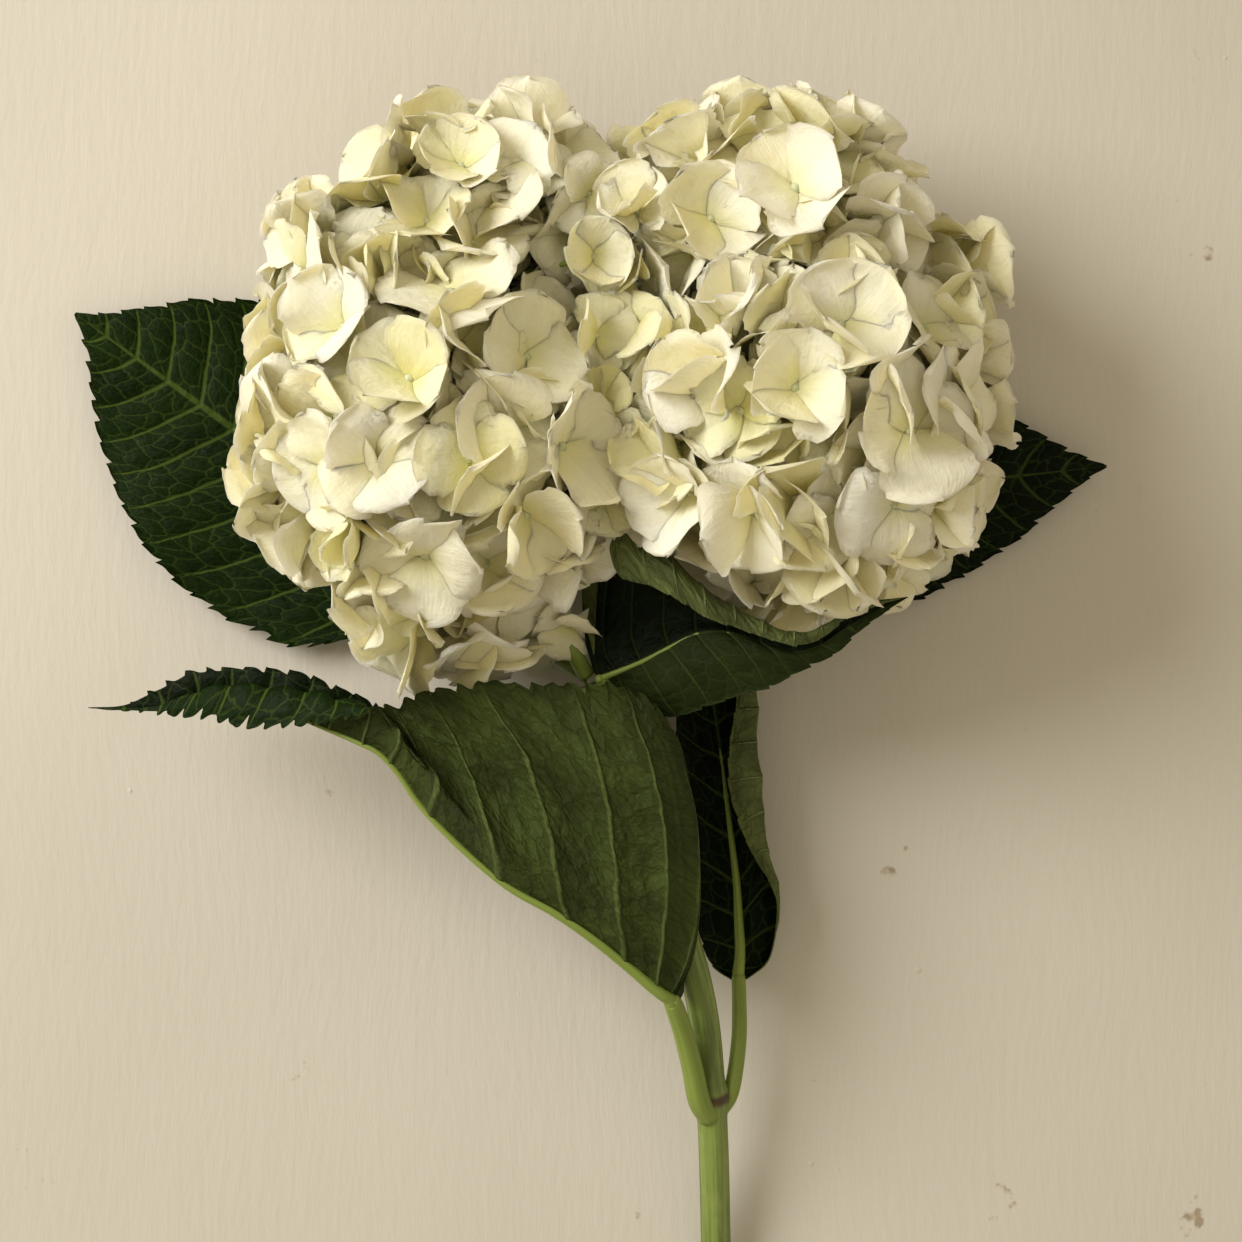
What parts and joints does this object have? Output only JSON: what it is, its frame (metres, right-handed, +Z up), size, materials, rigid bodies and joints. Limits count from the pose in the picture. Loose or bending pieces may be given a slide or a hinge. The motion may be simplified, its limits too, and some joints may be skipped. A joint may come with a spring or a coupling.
{
  "type": "cut hydrangea stem",
  "caption": "Cut woody flower stem lying flat, with paired white mophead flower heads of four-sepalled florets and broad toothed leaves, one of them folded and twisted.",
  "frame": {"origin": "middle of the footprint, at the lowest point, with the flower stem lying on its back on a table", "axes": "+Y along the stem from the cut end towards the flower heads, +Z up from the table towards the viewer, +X to the viewer's right"},
  "size_m": [0.3055, 0.4097, 0.1089],
  "materials": {
    "stem_green": "satin, ribbed, light green with a purple-brown ring at the joint",
    "flower_stalk_green": "satin, pale green",
    "leaf_green": "satin dark green above, matte grey-green below, veined",
    "sepal_white": "matte cream white, finely veined, yellow-green towards the middle"
  },
  "bodies": {
    "root": {"leaf_lower_front": "leaf_green", "leaf_lower_right": "leaf_green", "leaf_upper_front": "leaf_green", "leaf_upper_left": "leaf_green", "leaf_upper_right": "leaf_green", "left_floret_01": "sepal_white", "left_floret_02": "sepal_white", "left_floret_03": "sepal_white", "left_floret_04": "sepal_white", "left_floret_05": "sepal_white", "left_floret_06": "sepal_white", "left_floret_07": "sepal_white", "left_floret_08": "sepal_white", "left_floret_09": "sepal_white", "left_floret_10": "sepal_white", "left_floret_11": "sepal_white", "left_floret_12": "sepal_white", "left_floret_13": "sepal_white", "left_floret_14": "sepal_white", "left_floret_15": "sepal_white", "left_floret_16": "sepal_white", "left_floret_17": "sepal_white", "left_floret_18": "sepal_white", "left_floret_19": "sepal_white", "left_floret_20": "sepal_white", "left_floret_21": "sepal_white", "left_floret_22": "sepal_white", "left_floret_23": "sepal_white", "left_floret_24": "sepal_white", "left_floret_25": "sepal_white", "left_floret_26": "sepal_white", "left_flower_stalk": "flower_stalk_green", "main_stem": "stem_green", "right_floret_01": "sepal_white", "right_floret_02": "sepal_white", "right_floret_03": "sepal_white", "right_floret_04": "sepal_white", "right_floret_05": "sepal_white", "right_floret_06": "sepal_white", "right_floret_07": "sepal_white", "right_floret_08": "sepal_white", "right_floret_09": "sepal_white", "right_floret_10": "sepal_white", "right_floret_11": "sepal_white", "right_floret_12": "sepal_white", "right_floret_13": "sepal_white", "right_floret_14": "sepal_white", "right_floret_15": "sepal_white", "right_floret_16": "sepal_white", "right_floret_17": "sepal_white", "right_floret_18": "sepal_white", "right_floret_19": "sepal_white", "right_floret_20": "sepal_white", "right_floret_21": "sepal_white", "right_floret_22": "sepal_white", "right_floret_23": "sepal_white", "right_floret_24": "sepal_white", "right_floret_25": "sepal_white", "right_floret_26": "sepal_white", "right_flower_stalk": "flower_stalk_green"}
  },
  "joints": []
}
